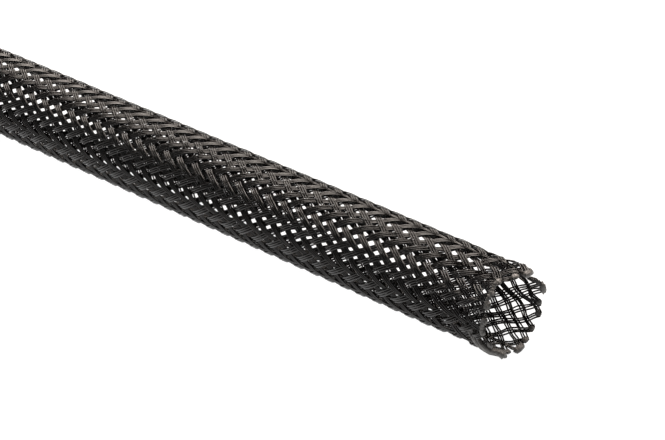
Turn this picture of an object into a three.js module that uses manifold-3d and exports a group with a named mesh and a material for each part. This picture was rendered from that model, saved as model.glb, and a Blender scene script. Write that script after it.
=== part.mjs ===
// Expandable braided cable sleeve: one hot-cut foot of round sleeving, lying along X.
// Forty yarns of black polyester monofilament interlace two over, two under.
// The floats line up in straight ridges, so the wall is a tube with one flat for each ridge.
// Lozenges cut through the flats, staggered from ridge to ridge, stand for the open mesh.
// Both ends are cut with a hot knife, which fuses each pair of crossing yarns into a beaded tip.
// Units are millimetres, +Z is up. The origin is under the middle of the sleeve, where it rests.

import * as THREE from 'three';
import { mergeVertices } from 'three/addons/utils/BufferGeometryUtils.js';
import Module from 'manifold-3d';

// Driving dimensions
const sleeveLength = 304.8;        // tip to tip, one foot
const boreDiameter = 12.7;         // half an inch, across the flats of the inner wall
const wallThickness = 0.65;        // two layers of crossing yarn with the slack between them
const yarnCount = 40;              // half of them run each way round
const neckDepth = 0.3;             // how far the sleeve draws in behind its cut end
const neckLength = 12;             // from the cut end to where the wall is straight again
const tipWidth = 1.25;             // round the wall, at the cut end
const notchDepth = 2.4;            // between two tips, along the sleeve
const notchRootWidth = 0.35;       // the small square corner at the bottom of a notch
const beadRadius = 0.5;            // melted bead at the end of each tip
const meshRows = 12;               // lozenges along one ridge
const meshWidth = 1.6;             // of a lozenge, round the wall
const meshBridge = 8.6;            // left between two lozenges of one ridge
const meshMargin = 5;              // from a cut end to the first row's bridge
const cutterClearance = 0.5;       // how far a cutter reaches past the wall

// Derived sizes
const ridgeCount = yarnCount / 2;
const ridgeAngle = (2 * Math.PI) / ridgeCount;
const flatToCorner = 1 / Math.cos(ridgeAngle / 2);
const boreRadius = boreDiameter / 2;
const outerRadius = boreRadius + wallThickness;
const middleRadius = boreRadius + wallThickness / 2;
const halfLength = sleeveLength / 2;
const ridgePitch = 2 * middleRadius * Math.tan(ridgeAngle / 2);
const notchMouthWidth = ridgePitch - tipWidth;
const meshPitch = (sleeveLength - 2 * meshMargin) / meshRows;
const meshLength = meshPitch - meshBridge;

const wasm = await Module();
wasm.setup();

// A closed three.js geometry as a solid that can be joined and cut.
function toSolid(geometry) {
  const bare = geometry.clone();
  bare.deleteAttribute('normal');
  bare.deleteAttribute('uv');
  const merged = mergeVertices(bare, 1e-4);
  return new wasm.Manifold(new wasm.Mesh({
    numProp: 3,
    vertProperties: new Float32Array(merged.attributes.position.array),
    triVerts: new Uint32Array(merged.index.array),
  }));
}

function toGeometry(solid) {
  const mesh = solid.getMesh();
  const geometry = new THREE.BufferGeometry();
  geometry.setAttribute('position', new THREE.BufferAttribute(mesh.vertProperties, 3));
  geometry.setIndex(new THREE.BufferAttribute(mesh.triVerts, 1));
  geometry.computeVertexNormals();
  return geometry;
}

// The wall's offset at a distance from the nearer cut end: it draws in by neckDepth half way
// along the neck and comes back out at both ends of it.
function neckOffset(fromEnd) {
  return -neckDepth * Math.sin((Math.PI * Math.min(fromEnd, neckLength)) / neckLength);
}

// Stations along the sleeve, as distances from its middle, with the necks in equal steps.
function stations() {
  const neckSteps = 4;
  const out = [];
  for (let i = 0; i <= neckSteps; i += 1) out.push(-halfLength + (neckLength * i) / neckSteps);
  return [...out, ...out.map((x) => -x).reverse()];
}

// The wall: a closed profile of its outside and inside, turned with one flat for each ridge.
function wall() {
  const along = stations();
  const outside = along.map((x) => [outerRadius + neckOffset(halfLength - Math.abs(x)), x]);
  const inside = along.map((x) => [boreRadius + neckOffset(halfLength - Math.abs(x)), x]).reverse();
  const profile = [...outside, ...inside, outside[0]]
    .map(([radius, x]) => new THREE.Vector2(radius * flatToCorner, x));
  const turned = new THREE.LatheGeometry(profile, ridgeCount, ridgeAngle / 2);
  turned.rotateZ(-Math.PI / 2);
  return turned;
}

// A cutter with an outline in X and Y that passes through the wall above the axis.
function throughWall(corners) {
  const outline = new THREE.Shape(corners.map(([x, y]) => new THREE.Vector2(x, y)));
  const depth = outerRadius * flatToCorner + cutterClearance - middleRadius / 2;
  const cutter = new THREE.ExtrudeGeometry(outline, { depth, bevelEnabled: false });
  cutter.translate(0, 0, middleRadius / 2);
  return cutter;
}

// One notch, open at the +X cut end, on the corner above the flat at +Z.
function notch() {
  const cutter = throughWall([
    [halfLength - notchDepth, -notchRootWidth / 2],
    [halfLength + cutterClearance, -notchMouthWidth / 2],
    [halfLength + cutterClearance, notchMouthWidth / 2],
    [halfLength - notchDepth, notchRootWidth / 2],
  ]);
  cutter.rotateX(ridgeAngle / 2);
  return cutter;
}

// The lozenges of the open mesh: a row along each flat, and half a pitch on in every other row.
function mesh() {
  const solids = [];
  for (let ridge = 0; ridge < ridgeCount; ridge += 1) {
    const stagger = (ridge % 2) / 2;
    for (let row = 0; row + stagger < meshRows - stagger; row += 1) {
      const lozenge = throughWall([
        [-meshLength / 2, 0],
        [0, -meshWidth / 2],
        [meshLength / 2, 0],
        [0, meshWidth / 2],
      ]);
      lozenge.translate((row + 0.5 + stagger - meshRows / 2) * meshPitch, 0, 0);
      lozenge.rotateX(ridge * ridgeAngle);
      solids.push(toSolid(lozenge));
    }
  }
  return wasm.Manifold.union(solids);
}

// One melted bead, at the tip on the flat at +Z, just inside the outer wall.
function bead() {
  const ball = new THREE.SphereGeometry(beadRadius, 6, 4);
  ball.rotateZ(Math.PI / 2);
  ball.scale(1, tipWidth / (2 * beadRadius), 1);
  ball.translate(halfLength - beadRadius, 0, outerRadius - beadRadius);
  return ball;
}

// The same piece round the sleeve, at every ridge of both ends.
function atEveryTip(piece) {
  const solids = [];
  for (const turnedEnd of [0, Math.PI]) {
    for (let i = 0; i < ridgeCount; i += 1) {
      const copy = piece.clone();
      copy.rotateX(i * ridgeAngle);
      copy.rotateZ(turnedEnd);
      solids.push(toSolid(copy));
    }
  }
  return wasm.Manifold.union(solids);
}

function sleeve() {
  const open = toSolid(wall()).subtract(atEveryTip(notch())).subtract(mesh());
  return toGeometry(open.add(atEveryTip(bead())));
}

const blackPolyester = new THREE.MeshStandardMaterial({
  color: 0x1c1a19,
  roughness: 0.35,
  metalness: 0,
});

const part = new THREE.Group();
const braidedSleeve = new THREE.Mesh(sleeve(), blackPolyester);
braidedSleeve.name = 'braided_sleeve';
braidedSleeve.position.z = outerRadius;
part.add(braidedSleeve);

export default part;
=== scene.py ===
import math

import bpy
import numpy as np
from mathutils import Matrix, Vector


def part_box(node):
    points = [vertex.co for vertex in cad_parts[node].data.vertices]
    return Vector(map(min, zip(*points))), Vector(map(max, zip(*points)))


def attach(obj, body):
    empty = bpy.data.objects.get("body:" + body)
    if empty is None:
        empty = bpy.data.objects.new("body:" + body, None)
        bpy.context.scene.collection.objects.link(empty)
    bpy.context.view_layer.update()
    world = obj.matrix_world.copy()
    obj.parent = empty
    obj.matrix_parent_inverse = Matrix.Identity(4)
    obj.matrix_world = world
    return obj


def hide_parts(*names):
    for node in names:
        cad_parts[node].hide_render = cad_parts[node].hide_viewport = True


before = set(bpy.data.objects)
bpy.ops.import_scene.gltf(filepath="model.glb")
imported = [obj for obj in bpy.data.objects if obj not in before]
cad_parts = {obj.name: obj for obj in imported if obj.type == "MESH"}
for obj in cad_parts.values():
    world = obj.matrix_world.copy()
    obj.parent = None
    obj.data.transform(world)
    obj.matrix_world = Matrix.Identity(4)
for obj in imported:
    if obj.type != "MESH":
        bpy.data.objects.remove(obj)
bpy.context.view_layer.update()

# An open braid of black polyester monofilament, hot cut at both ends, lying on a white sweep.
# Half of the yarns run each way round the sleeve. Each one is a flat ribbon of parallel
# filaments that passes over two of the others and under the next two.

SLEEVE = "braided_sleeve"
MM = 0.001
low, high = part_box(SLEEVE)
HALF_LENGTH = (high.x - low.x) / 2 / MM
OUTER_RADIUS = (high.z - low.z) / 2 / MM
AXIS_HEIGHT = (high.z + low.z) / 2 / MM

# The braid, in millimetres and degrees
YARNS_EACH_WAY = 20
FILAMENTS = 3                  # side by side in one yarn, drawn coarser: three for four real ones,
FILAMENT_WIDTH = 0.31          # and thicker than the real one, about 0.25, so that the eye parts them
FILAMENT_PITCH = 0.345         # between neighbours in a yarn
FILAMENT_SIDES = 6
WALL = 0.8                     # outermost to innermost filament surface
PICKS = 191                    # crossings along one yarn, from cut to cut
STEPS_PER_PICK = 3             # mesh steps between two crossings
FLOAT_SHARPNESS = 0.8          # how flat a float lies before it dives under
TIP_ANGLE = 10.0               # of one fused tip, round the sleeve from the top
FLOAT_PHASE = -0.5             # columns from that tip to the middle of a right-hand float
LAY_LEAD = 0.7                 # how far the rows of crossings lead on the sleeve's far side
NEAR_SIDE = -53.3              # round from the top to the side that the photo shows
NECK_DEPTH = 0.3               # how far the sleeve draws in behind a cut
NECK_LENGTH = 12.0

# Straying of the threads: how far, and over what length along the sleeve
YARN_WANDER, YARN_WAVE = 0.05, 14.0
FILAMENT_WANDER, FILAMENT_WAVE = 0.015, 5.0
FILAMENT_LEVEL, LEVEL_WAVE = 0.015, 25.0            # above or below its neighbours
LOOSE_YARN_WANDER, LOOSE_YARN_WAVE = 0.08, 9.0      # near a cut
LOOSE_WANDER, LOOSE_WAVE = 0.07, 6.0                # of a filament near a cut
WAVES = 3                      # sine waves added up in one straying
WAVE_STRETCH = (0.6, 1.7)      # shortest and longest of them, as shares of the length

# The cut ends: each tip fuses one right-hand yarn to one left-hand yarn
LOOSE_LENGTH = 17.0            # from the cut to where the braid is tight again
LOOSE_SPREAD = {1: -0.08, -1: 0.15}  # share by which filaments part: right-hand, left-hand yarns
LOOSE_SWING = 2.0              # share by which a loose float stands prouder
LOOSE_WIDTH = 0.26             # of a loose filament, near the real one
FUSE_LENGTH = 2.5              # over which the filaments close up into the tip
TIP_WIDTH = 0.95               # of the closed-up yarn
FRONT_REACH = (1.4, -0.6, -0.9, -0.2, 0.4, -0.2, 0.2, 0.1, 0.3, 0.6,
               -0.2, 0.6, 1.8, 0.3, -0.7, -0.4, -0.6, -0.8, -0.9, 0.6)  # of each tip past the cut
BACK_RAGGEDNESS = 0.45         # spread of the far end's tips, and their looseness
TIP_SHIFT = 2.2                # degrees that a tip sits off its even place
PULLED_TIPS = {3: 8.0, 4: -3.0}  # degrees that two front tips melted towards each other

# Melted plastic at the cut
BEAD_LENGTH = (0.9, 1.3)       # shortest and longest
BEAD_THICKNESS = (0.5, 0.7)
BEAD_FLATNESS = 2.1            # width over thickness
BEAD_LUMPS = 0.24              # share by which its surface strays
BEAD_STATIONS, BEAD_SIDES = 9, 12
BEAD_TRIM = 0.985              # where the first and last station lie, from its middle to its end
LARGE_TIPS = (0, 4, 9)         # front tips that melted into big beads
LARGE_BEAD = 1.6               # how many times thicker these are
FUSED_RIM = (14, 16, 17)       # front tips that a melted rim joins to the next one
RIM_RADIUS, RIM_RIB, RIM_RIBS = 0.32, 0.06, 4       # with the height and number of its ribs
RIM_SETBACK, RIM_SAG = 0.2, 0.3                     # along the sleeve, from the tips
RIM_LUMPS = 0.3
RIM_STATIONS = 19
MELTED_YARN = 12               # left-hand yarn that melted together behind its front tip
MELTED_STEPS = 12              # mesh steps of it, from the cut back
MELTED_RADIUS = (0.26, 0.54)   # of its filaments, at its start and at its tip
MELTED_LUMPS = 0.3
MELTED_SIDES = 8               # round a rim bridge or a melted filament

YARN_ANGLE = 360.0 / YARNS_EACH_WAY
COLUMN_ANGLE = YARN_ANGLE / 2
PICK = 2 * HALF_LENGTH / PICKS
MIDDLE_RADIUS = OUTER_RADIUS - WALL / 2
SWING = (WALL - FILAMENT_WIDTH) / 2
LEAN = math.atan(math.radians(COLUMN_ANGLE) * MIDDLE_RADIUS / PICK)

# Each tip's random place, round and along the sleeve
rng = np.random.default_rng(7)
front_shift = rng.uniform(-TIP_SHIFT, TIP_SHIFT, YARNS_EACH_WAY)
for tip, degrees in PULLED_TIPS.items():
    front_shift[tip] += degrees
back_shift = rng.uniform(-TIP_SHIFT, TIP_SHIFT, YARNS_EACH_WAY)
back_reach = rng.uniform(-BACK_RAGGEDNESS, BACK_RAGGEDNESS, YARNS_EACH_WAY)


def float_height(column):
    """Over and under: +1 on top of a float, -1 under one, repeating every four columns.
    A cosine of the column, flattened by tanh so that the float lies straight on top."""
    wave = np.cos(np.pi / 2 * (column - FLOAT_PHASE))
    return np.tanh(FLOAT_SHARPNESS * wave) / math.tanh(FLOAT_SHARPNESS)


def neck(from_end):
    """How far the sleeve draws in behind a cut: half a sine wave over the neck's length."""
    return -NECK_DEPTH * np.sin(np.pi * np.clip(from_end / NECK_LENGTH, 0, 1))


def near_cut(along, length, end):
    """0 in the body of the sleeve, rising as a square to 1 at the cut end on the end side."""
    return np.clip(1 - (HALF_LENGTH - end * along) / length, 0, 1) ** 2


def wander(strands, distance, wavelength, size):
    """A slow random curve for each strand: twice the mean of a few sine waves of the distance,
    each as high as the size, with lengths round the wavelength and random phases."""
    phase = rng.uniform(0, 2 * np.pi, (WAVES, strands, 1))
    stretch = rng.uniform(*WAVE_STRETCH, (WAVES, strands, 1))
    return size * np.sin(2 * np.pi * distance * stretch / wavelength + phase).mean(0) * 2


def tube_mesh(name, paths, outward, radius, sides=FILAMENT_SIDES, widen=1.0):
    """Round strands swept along paths, given as an array of strand by station by xyz.
    Each vertex is centre + radius * (cos a * up + widen * sin a * side), where side is the
    tangent crossed with the outward direction and up is side crossed with the tangent.
    A vertex under the floor is raised to it."""
    strands, stations = paths.shape[:2]
    tangent = np.gradient(paths, axis=1)
    tangent /= np.linalg.norm(tangent, axis=2, keepdims=True)
    side = np.cross(tangent, outward)
    side /= np.linalg.norm(side, axis=2, keepdims=True)
    up = np.cross(side, tangent)
    a = 2 * np.pi * np.arange(sides) / sides
    ring = np.cos(a)[:, None] * up[:, :, None] + widen * np.sin(a)[:, None] * side[:, :, None]
    points = paths[:, :, None] + radius * ring
    points[..., 2] = np.maximum(points[..., 2], 0)
    index = np.arange(strands * stations * sides).reshape(strands, stations, sides)
    here, there = index[:, :-1], index[:, 1:]
    quads = np.stack([here, np.roll(here, -1, 2), np.roll(there, -1, 2), there], -1)
    starts, ends = index[:, 0, ::-1], index[:, -1]
    corners = np.concatenate([quads.ravel(), starts.ravel(), ends.ravel()])
    counts = np.full(quads.size // 4 + 2 * strands, 4)
    counts[-2 * strands:] = sides
    smooth = np.arange(len(counts)) < quads.size // 4
    mesh = bpy.data.meshes.new(name)
    mesh.vertices.add(points.size // 3)
    mesh.vertices.foreach_set("co", (points * MM).astype(np.float32).ravel())
    mesh.loops.add(len(corners))
    mesh.loops.foreach_set("vertex_index", corners.astype(np.int32))
    mesh.polygons.add(len(counts))
    begins = np.concatenate([[0], np.cumsum(counts)[:-1]])
    mesh.polygons.foreach_set("loop_start", begins.astype(np.int32))
    mesh.polygons.foreach_set("use_smooth", smooth)
    mesh.update(calc_edges=True)
    return mesh


def round_axis(along, radius, angle):
    """Points and outward directions at a distance along, a radius from and an angle round the
    sleeve's axis, measured from the top. No point is lower than half a filament."""
    outward = np.stack([np.zeros_like(angle), np.sin(angle), np.cos(angle)], -1)
    paths = outward * radius[..., None]
    paths[..., 0] = along
    paths[..., 2] = np.maximum(paths[..., 2] + AXIS_HEIGHT, FILAMENT_WIDTH / 2)
    return paths, outward


def yarn_paths(number, turn):
    """One yarn: a ribbon of filaments on a helix, with the width of each filament along it.
    Its angle grows by one column each pick, in the direction of turn, and its radius is the
    middle radius plus turn * SWING * float_height. Its place along the sleeve leads by up to
    LAY_LEAD, as half of one minus the cosine of the angle from the near side. Towards a cut its
    filaments part, thin, stray and stand prouder, then close up into the tip."""
    steps = PICKS * STEPS_PER_PICK
    picks = np.arange(steps + 1) / STEPS_PER_PICK
    along = -HALF_LENGTH + picks * PICK
    front, back = near_cut(along, LOOSE_LENGTH, 1), near_cut(along, LOOSE_LENGTH, -1)
    fused = near_cut(along, FUSE_LENGTH, 1) + near_cut(along, FUSE_LENGTH, -1)
    loose = (front + BACK_RAGGEDNESS * back) * (1 - fused)
    back_tip = (number - turn * (PICKS - turn) // 2) % YARNS_EACH_WAY
    reach = front * FRONT_REACH[number] - back * back_reach[back_tip]
    shift = front * front_shift[number] + back * back_shift[back_tip]

    even = (np.arange(FILAMENTS) - (FILAMENTS - 1) / 2)[:, None] * FILAMENT_PITCH
    spread = 1 + LOOSE_SPREAD[turn] * loose
    closed = TIP_WIDTH / (FILAMENTS * FILAMENT_PITCH)
    across = even * (spread + (closed - spread) * fused)
    across = across + wander(1, along, YARN_WAVE, YARN_WANDER) * (1 - fused)
    across = across + wander(FILAMENTS, along, FILAMENT_WAVE, FILAMENT_WANDER) * (1 - fused)
    across = across + wander(FILAMENTS, along, LOOSE_WAVE, LOOSE_WANDER) * loose
    across = across + wander(1, along, LOOSE_YARN_WAVE, LOOSE_YARN_WANDER) * loose

    column = 2 * number + turn * (picks - PICKS)
    skew = across / math.tan(2 * LEAN) * math.cos(LEAN) / PICK
    swing = SWING * (1 + LOOSE_SWING * loose) * (1 - fused)
    radius = MIDDLE_RADIUS + turn * swing * float_height(column + skew)
    radius = radius + neck(HALF_LENGTH - np.abs(along)) - FILAMENT_LEVEL
    radius = radius + wander(FILAMENTS, along, LEVEL_WAVE, FILAMENT_LEVEL)
    radius = radius + wander(FILAMENTS, along, LOOSE_WAVE, LOOSE_WANDER) * loose
    radius = radius + wander(1, along, LOOSE_YARN_WAVE, LOOSE_YARN_WANDER) * loose
    angle = np.radians(TIP_ANGLE + COLUMN_ANGLE * column + shift) + math.cos(LEAN) * across / radius
    lead = LAY_LEAD / 2 * (1 - np.cos(angle - math.radians(NEAR_SIDE)))
    along = along + reach - turn * math.sin(LEAN) * across + lead * (1 - front) * (1 - back)
    width = FILAMENT_WIDTH + (LOOSE_WIDTH - FILAMENT_WIDTH) * loose[:, None, None]
    return *round_axis(along, radius, angle), width


def yarn(number, turn):
    paths, outward, width = yarn_paths(number, turn)
    return tube_mesh("yarn", paths, outward, width / 2)


def tip_angles(end, shift):
    """Where one end's tips sit round the sleeve, in radians: at even columns on the front cut
    and at odd ones on the back cut."""
    columns = 2 * np.arange(YARNS_EACH_WAY) - (0 if end > 0 else 1)
    return np.radians(TIP_ANGLE + COLUMN_ANGLE * columns + shift)


def melted_tips(end, reach, shift, large):
    """The bead at each tip: an ellipsoid lying along the sleeve, set back from the tip by a
    quarter of its length. Its radius at t from -1 to 1 along it is the square root of 1 - t
    squared, with random lumps."""
    t = np.linspace(-BEAD_TRIM, BEAD_TRIM, BEAD_STATIONS)
    length = rng.uniform(*BEAD_LENGTH, (YARNS_EACH_WAY, 1))
    thickness = rng.uniform(*BEAD_THICKNESS, (YARNS_EACH_WAY, 1))
    thickness[list(large)] *= LARGE_BEAD
    middle = end * (HALF_LENGTH + np.asarray(reach)[:, None] - length / 4)
    angle = tip_angles(end, shift)[:, None] + np.zeros(BEAD_STATIONS)
    paths, outward = round_axis(middle + t * length / 2, np.full_like(angle, MIDDLE_RADIUS), angle)
    lumps = 1 + rng.uniform(-BEAD_LUMPS, BEAD_LUMPS, angle.shape + (BEAD_SIDES, 1))
    radius = (np.sqrt(1 - t ** 2) * thickness / 2)[..., None, None] * lumps
    return tube_mesh("melted_tips", paths, outward, radius, BEAD_SIDES, BEAD_FLATNESS)


def melted_rim(reach, shift):
    """Ribbed bridges of melted plastic from one front tip to the next, which sag back along the
    sleeve by half a sine wave."""
    share = np.linspace(0, 1, RIM_STATIONS)
    first = np.array(FUSED_RIM)
    angles = tip_angles(1, shift)
    angle = angles[first][:, None] + share * (angles[first + 1] - angles[first])[:, None]
    ends = np.asarray(reach)
    along = ends[first][:, None] + share * (ends[first + 1] - ends[first])[:, None]
    along = HALF_LENGTH - RIM_SETBACK + along - RIM_SAG * np.sin(np.pi * share)
    paths, outward = round_axis(along, np.full_like(angle, MIDDLE_RADIUS), angle)
    ribbed = RIM_RADIUS + RIM_RIB * np.cos(2 * np.pi * RIM_RIBS * share)
    radius = np.broadcast_to(ribbed, angle.shape)[..., None, None]
    radius = radius * (1 + rng.uniform(-RIM_LUMPS, RIM_LUMPS, angle.shape + (MELTED_SIDES, 1)))
    return tube_mesh("melted_rim", paths, outward, radius, MELTED_SIDES)


def melted_yarn():
    """The last steps of one yarn, whose filaments melted into a ropy strand that swells evenly
    to its tip, with random lumps."""
    paths, outward, _ = yarn_paths(MELTED_YARN, -1)
    last = slice(-MELTED_STEPS, None)
    swell = np.linspace(*MELTED_RADIUS, MELTED_STEPS)[None, :, None, None]
    lumps = rng.uniform(-MELTED_LUMPS, MELTED_LUMPS, (FILAMENTS, MELTED_STEPS, MELTED_SIDES, 1))
    return tube_mesh("melted_yarn", paths[:, last], outward[:, last], swell * (1 + lumps), MELTED_SIDES)


def linear(hex_colour):
    """sRGB hex to linear RGBA."""
    srgb = [int(hex_colour[i:i + 2], 16) / 255 for i in (0, 2, 4)]
    return [c / 12.92 if c <= 0.04045 else ((c + 0.055) / 1.055) ** 2.4 for c in srgb] + [1]


def node(tree, kind, settings=None, links=None):
    """Adds a node, sets its attributes or numbered and named inputs, and links its inputs."""
    made = tree.nodes.new(kind)
    for key, value in (settings or {}).items():
        if isinstance(key, str) and hasattr(made, key):
            setattr(made, key, value)
        else:
            made.inputs[key].default_value = value
    for key, source in (links or {}).items():
        tree.links.new(source, made.inputs[key])
    return made


def new_material(name):
    material = bpy.data.materials.new(name)
    material.use_nodes = True
    material.node_tree.nodes.clear()
    return material, material.node_tree


# Patches of one shade to a metre
THREAD_PATCHES = 900.0         # about 1.1 mm each, so that they change slowly along a thread
MELT_PITS = 2400.0             # about 0.4 mm each
SWEEP_PATCHES = 8.0


def extruded_polyester():
    """Black PET monofilament, melt-spun and drawn: a smooth, glassy thread with a thin bright
    line of light along it. Its shade and gloss change slowly, so that no two threads match."""
    material, tree = new_material("black_polyester_monofilament")
    place = node(tree, "ShaderNodeTexCoord")
    cloud = node(tree, "ShaderNodeTexNoise", {"Scale": THREAD_PATCHES, "Detail": 2.0},
                 {"Vector": place.outputs["Object"]})
    shade = node(tree, "ShaderNodeMix", {"data_type": "RGBA", 6: linear("0c0b0a"), 7: linear("1a1715")},
                 {"Factor": cloud.outputs["Fac"]})
    gloss = node(tree, "ShaderNodeMapRange", {"To Min": 0.08, "To Max": 0.16},
                 {"Value": cloud.outputs["Fac"]})
    skin = node(tree, "ShaderNodeBsdfPrincipled", {"IOR": 1.57, "Specular IOR Level": 0.35},
                {"Base Color": shade.outputs[2], "Roughness": gloss.outputs["Result"]})
    node(tree, "ShaderNodeOutputMaterial", None, {"Surface": skin.outputs["BSDF"]})
    return material


def melted_polyester():
    """The same plastic where the hot knife melted it: paler, duller and pitted, which makes the
    cut tips stand out against the glossy threads."""
    material, tree = new_material("hot_cut_polyester")
    place = node(tree, "ShaderNodeTexCoord")
    cloud = node(tree, "ShaderNodeTexNoise", {"Scale": MELT_PITS, "Detail": 4.0},
                 {"Vector": place.outputs["Object"]})
    shade = node(tree, "ShaderNodeMix", {"data_type": "RGBA", 6: linear("121110"), 7: linear("7c7a77")},
                 {"Factor": cloud.outputs["Fac"]})
    pits = node(tree, "ShaderNodeBump", {"Strength": 1.0, "Distance": 0.0002},
                {"Height": cloud.outputs["Fac"]})
    skin = node(tree, "ShaderNodeBsdfPrincipled", {"IOR": 1.57, "Roughness": 0.45},
                {"Base Color": shade.outputs[2], "Normal": pits.outputs["Normal"]})
    node(tree, "ShaderNodeOutputMaterial", None, {"Surface": skin.outputs["BSDF"]})
    return material


def white_sweep():
    """Matt white acrylic, lit from below so that it leaves the sleeve without a dark shadow."""
    material, tree = new_material("backlit_white_acrylic")
    place = node(tree, "ShaderNodeTexCoord")
    cloud = node(tree, "ShaderNodeTexNoise", {"Scale": SWEEP_PATCHES}, {"Vector": place.outputs["Object"]})
    shade = node(tree, "ShaderNodeMix", {"data_type": "RGBA", 6: linear("6a6a6a"), 7: linear("6e6e6e")},
                 {"Factor": cloud.outputs["Fac"]})
    skin = node(tree, "ShaderNodeBsdfPrincipled",
                {"Roughness": 0.9, "Specular IOR Level": 0.0, "Emission Color": (1, 1, 1, 1),
                 "Emission Strength": 1.0},
                {"Base Color": shade.outputs[2]})
    node(tree, "ShaderNodeOutputMaterial", None, {"Surface": skin.outputs["BSDF"]})
    return material


def add_piece(name, mesh, material):
    piece = bpy.data.objects.new(name, mesh)
    mesh.materials.append(material)
    bpy.context.scene.collection.objects.link(piece)
    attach(piece, "root")
    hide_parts(SLEEVE)


monofilament = extruded_polyester()
for number in range(YARNS_EACH_WAY):
    add_piece(f"right_hand_yarn_{number + 1:02d}", yarn(number, +1), monofilament)
    add_piece(f"left_hand_yarn_{number + 1:02d}", yarn(number, -1), monofilament)

melted = melted_polyester()
add_piece("melted_tips_front", melted_tips(1, FRONT_REACH, front_shift, LARGE_TIPS), melted)
add_piece("melted_tips_back", melted_tips(-1, back_reach, back_shift, ()), melted)
add_piece("melted_rim_front", melted_rim(FRONT_REACH, front_shift), melted)
add_piece("melted_yarn_front", melted_yarn(), melted)

# The sweep
FLOOR_HALF = 3.0
floor_mesh = bpy.data.meshes.new("white_sweep")
floor_mesh.from_pydata(
    [(-FLOOR_HALF, -FLOOR_HALF, 0), (FLOOR_HALF, -FLOOR_HALF, 0),
     (FLOOR_HALF, FLOOR_HALF, 0), (-FLOOR_HALF, FLOOR_HALF, 0)], [], [(0, 1, 2, 3)])
floor = bpy.data.objects.new("white_sweep", floor_mesh)
floor_mesh.materials.append(white_sweep())
bpy.context.scene.collection.objects.link(floor)

# Soft studio light: a dim white surround and three softboxes, behind, beyond the cut and left
SURROUND_STRENGTH = 0.07
LAMP_COLOUR = (1.0, 0.9, 0.82)
LAMP_AIM = Vector((0.1, 0, 0))
LAMPS = {                      # place and side in metres, power in watts
    "back_softbox": (Vector((-0.305, 0.27, 0.756)), 0.42, 8.5),
    "rear_softbox": (Vector((0.22, 0.45, 0.75)), 0.36, 7.0),
    "left_softbox": (Vector((-0.6, 0.45, 0.5)), 0.4, 4.0),
}


def softbox(name, place, side, power):
    lamp = bpy.data.lights.new(name, "AREA")
    lamp.shape = "SQUARE"
    lamp.size = side
    lamp.energy = power
    lamp.color = LAMP_COLOUR
    holder = bpy.data.objects.new(name, lamp)
    holder.location = place
    holder.rotation_euler = (LAMP_AIM - place).to_track_quat("-Z", "Y").to_euler()
    bpy.context.scene.collection.objects.link(holder)


world = bpy.data.worlds.new("white_surround")
world.use_nodes = True
world.node_tree.nodes["Background"].inputs["Color"].default_value = (1, 1, 1, 1)
world.node_tree.nodes["Background"].inputs["Strength"].default_value = SURROUND_STRENGTH
bpy.context.scene.world = world
for name, (place, side, power) in LAMPS.items():
    softbox(name, place, side, power)

# The camera: level, at the photograph's angle to the sleeve, aimed past its cut end
CAMERA_FROM_END = Vector((179.5, -244.266, 181.949)) * MM
CAMERA_AZIMUTH = 41.384
CAMERA_ELEVATION = 28.867
FOCAL_PIXELS = 2400.0
IMAGE_WIDTH = 665
SENSOR_WIDTH = 36.0
NEAREST_SEEN = 0.01
lens = bpy.data.cameras.new("camera")
lens.sensor_fit = "HORIZONTAL"
lens.sensor_width = SENSOR_WIDTH
lens.lens = FOCAL_PIXELS / IMAGE_WIDTH * SENSOR_WIDTH
lens.clip_start = NEAREST_SEEN
camera = bpy.data.objects.new("camera", lens)
camera.location = Vector((HALF_LENGTH, 0, AXIS_HEIGHT)) * MM + CAMERA_FROM_END
camera.rotation_euler = (math.radians(90 - CAMERA_ELEVATION), 0, math.radians(CAMERA_AZIMUTH))
bpy.context.scene.collection.objects.link(camera)
bpy.context.scene.camera = camera
bpy.context.scene.view_settings.view_transform = "Standard"
